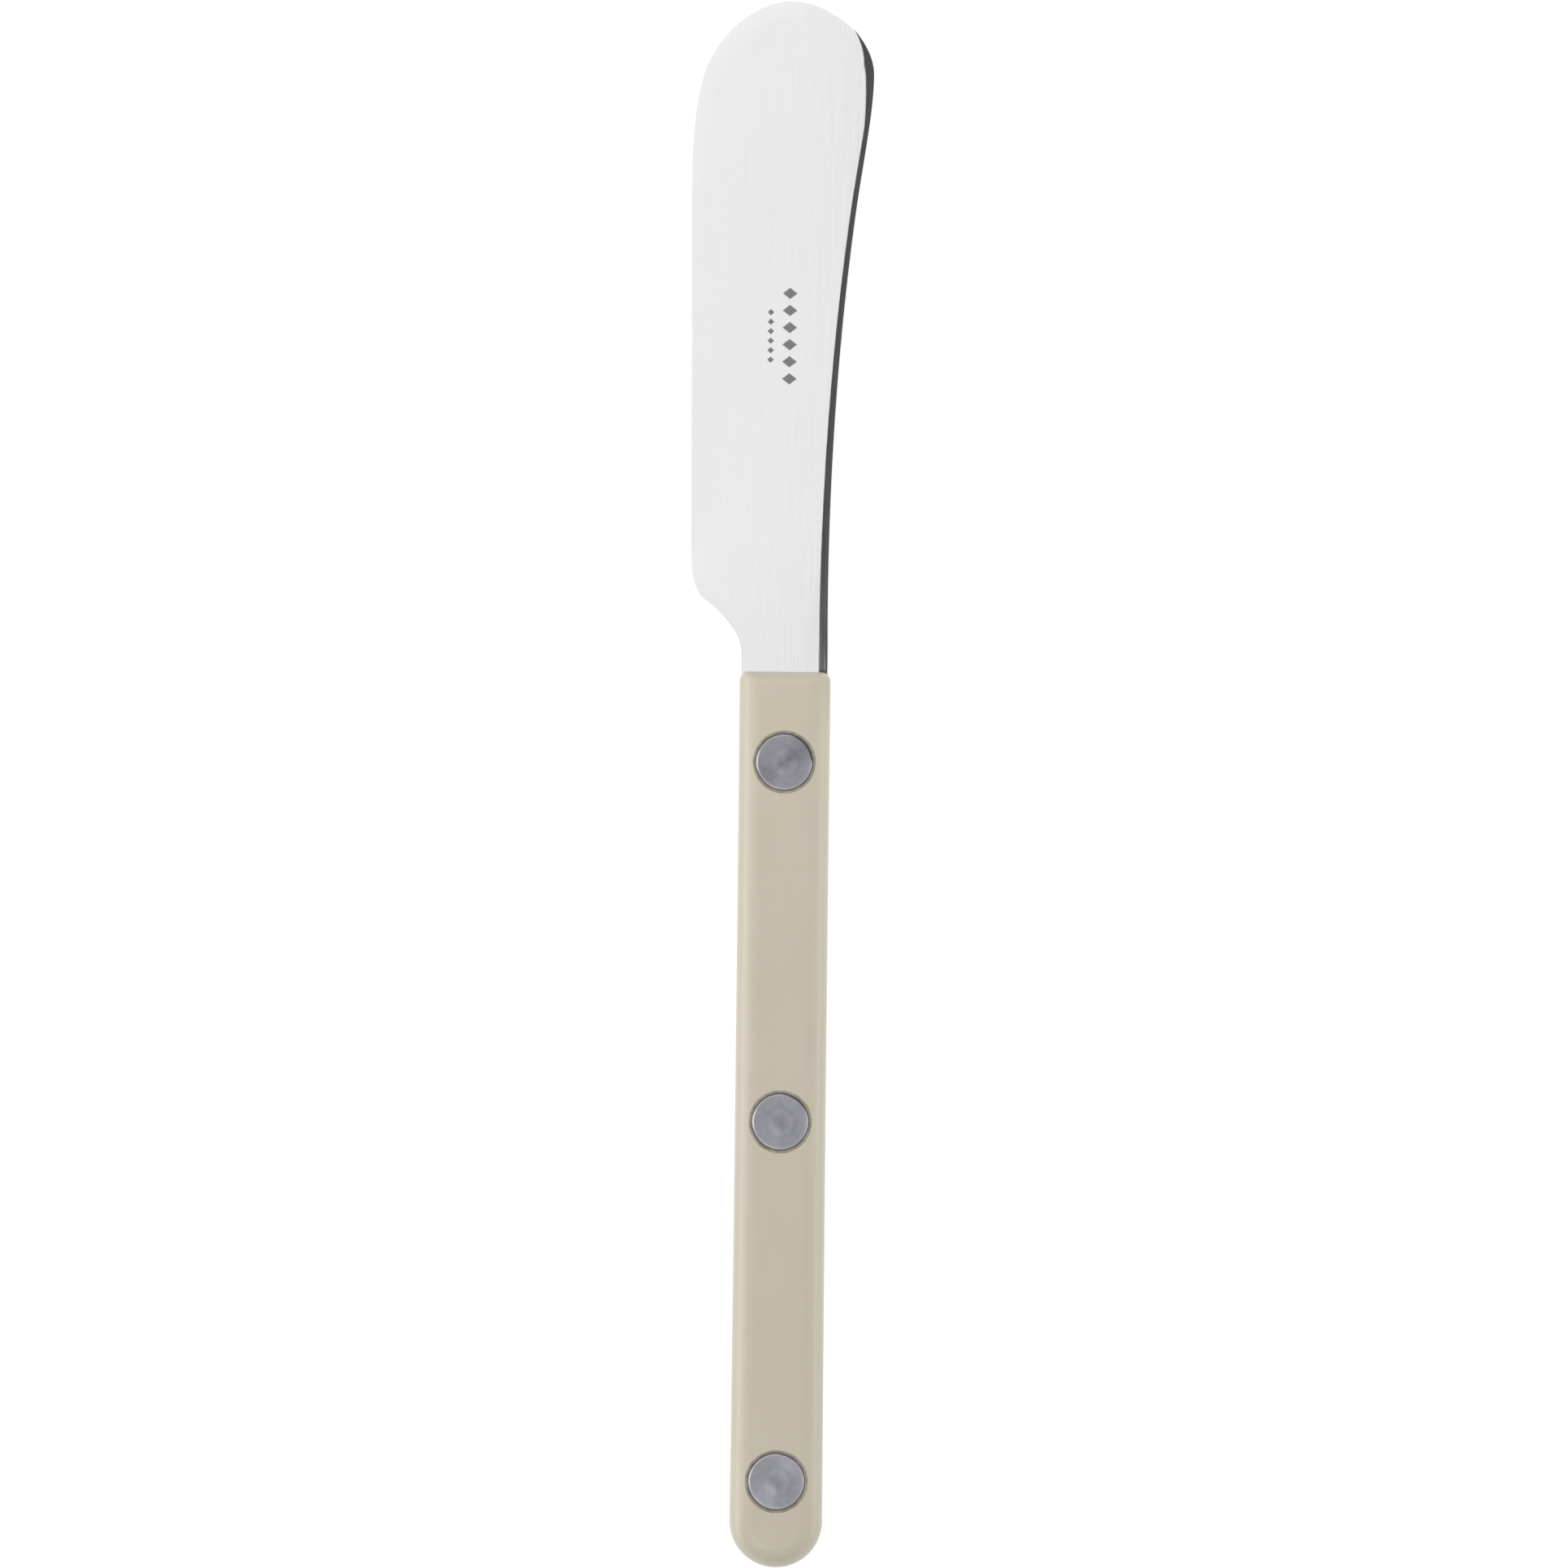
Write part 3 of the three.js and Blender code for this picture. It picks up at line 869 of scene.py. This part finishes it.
def card(name, centre, size, strength):
    """A bright panel, facing the handle's middle, that shows only in reflections."""
    panel = new_object(name, *rectangle(*size))
    panel.data.materials.append(glow_material(name, (1, 1, 1), strength))
    handle_middle = Vector((AXIS_X, BUTT_Y + HANDLE_LENGTH / 2 * MM, MIDDLE_Z))
    panel.location = handle_middle + Vector(centre)
    panel.rotation_mode = "QUATERNION"
    panel.rotation_quaternion = (-Vector(centre)).to_track_quat("Z", "Y")
    seen_by(panel, reflections=True)


def soft_light(name, centre, towards, size, radiance):
    """A softbox: radiance is its brightness, as the sky's strength is the sky's."""
    width, height = size
    data = bpy.data.lights.new(name, "AREA")
    data.shape = "RECTANGLE"
    data.size, data.size_y = width, height
    data.energy = radiance * math.pi * width * height
    light = bpy.data.objects.new(name, data)
    bpy.context.scene.collection.objects.link(light)
    light.location = centre
    light.rotation_mode = "QUATERNION"
    light.rotation_quaternion = (Vector(towards) - Vector(centre)).to_track_quat("-Z", "Y")
    light.visible_camera = False
    return light


def make_lights():
    """Cards for the highlights, a softbox on each side and a key light above the spine."""
    card("north_card", centre=(0.1, 0.27, 0.4), size=(0.12, 0.12), strength=2.4)
    card("south_card", centre=(-0.09, -0.19, 0.44), size=(0.14, 0.14), strength=2.9)
    card("west_card", centre=(-0.45, 0.05, 0.26), size=(0.34, 0.1), strength=3.2)
    middle = (0, 0, 0)
    soft_light("side_light", centre=(-0.6, 0.05, 0.08), towards=middle, size=(1.0, 0.16), radiance=4.0)
    soft_light("fill_light", centre=(0.6, -0.05, 0.12), towards=middle, size=(0.5, 0.22), radiance=2.0)
    handle = (0, -0.02, 0)
    key = soft_light("key_light", centre=(0.05, 0.055, 0.1), towards=handle, size=(0.07, 0.07), radiance=1.9)
    key.visible_glossy = False


def make_floor():
    """A white floor that glows a little, so that no shadow shows on it."""
    side = 80.0
    floor = new_object("floor", *rectangle(side, side))
    material, nodes, surface = new_material("white_sweep")
    nodes.put(surface.inputs["Base Color"], (0.2, 0.2, 0.2, 1))
    nodes.put(surface.inputs["Roughness"], 0.9)
    nodes.put(surface.inputs["Specular IOR Level"], 0.0)
    nodes.put(surface.inputs["Emission Color"], (1, 1, 1, 1))
    nodes.put(surface.inputs["Emission Strength"], 0.87)
    floor.data.materials.append(material)


def make_wall():
    """A white wall far round the knife, which only the camera sees: it hides the horizon in a low view."""
    radius = 6.0
    height = 1.5
    steps = 64
    turns = np.linspace(0, 2 * math.pi, steps, endpoint=False)
    points = [(radius * math.cos(turn), radius * math.sin(turn), z) for z in (0, height) for turn in turns]
    faces = [(i, (i + 1) % steps, steps + (i + 1) % steps, steps + i) for i in range(steps)]
    wall = new_object("white_wall", points, faces)
    wall.data.materials.append(glow_material("white_paint", (1, 1, 1), 1.0))
    seen_by(wall, camera=True)


def make_sky():
    """A white room, darker towards the horizon and brighter on the side of the tip and the spreading edge."""
    world = bpy.data.worlds.new("studio")
    bpy.context.scene.world = world
    world.use_nodes = True
    nodes = Nodes(world.node_tree)
    world.node_tree.nodes.clear()
    direction = nodes.add("ShaderNodeTexCoord").outputs["Generated"]
    height = nodes.add("ShaderNodeSeparateXYZ", {0: direction}).outputs[2]
    bright_side = (-0.6, 0.8, 0)
    facing = nodes.add("ShaderNodeVectorMath", {0: direction, 1: bright_side}, operation="DOT_PRODUCT")
    side_glow = nodes.spread(facing.outputs["Value"], -1.0, 1.0, 0.85, 1.15)
    glow = nodes.math("MULTIPLY", nodes.spread(height, -0.05, 0.9, 0.48, 1.0), side_glow)
    background = nodes.add("ShaderNodeBackground", {"Color": (1, 1, 1, 1), "Strength": glow})
    output = nodes.add("ShaderNodeOutputWorld")
    world.node_tree.links.new(background.outputs[0], output.inputs["Surface"])


def make_camera():
    """Straight above the knife, which lies a little turned in the picture."""
    lens = 400
    picture_side = 165.3 * MM
    turn = math.radians(0.64)
    camera_data = bpy.data.cameras.new("camera")
    camera_data.lens = lens
    camera_data.clip_start = 0.01
    camera = bpy.data.objects.new("camera", camera_data)
    bpy.context.scene.collection.objects.link(camera)
    low, high = cad_box
    centre = (low + high) / 2
    away = picture_side / 2 / (camera_data.sensor_width / 2 / lens)
    camera.location = (AXIS_X, centre.y, MIDDLE_Z + away)
    camera.rotation_euler = (0, 0, turn)
    bpy.context.scene.camera = camera


build_knife()
make_floor()
make_wall()
make_sky()
make_camera()
make_flag()
make_lights()

scene = bpy.context.scene
scene.view_settings.view_transform = "Standard"
scene.view_settings.look = "None"
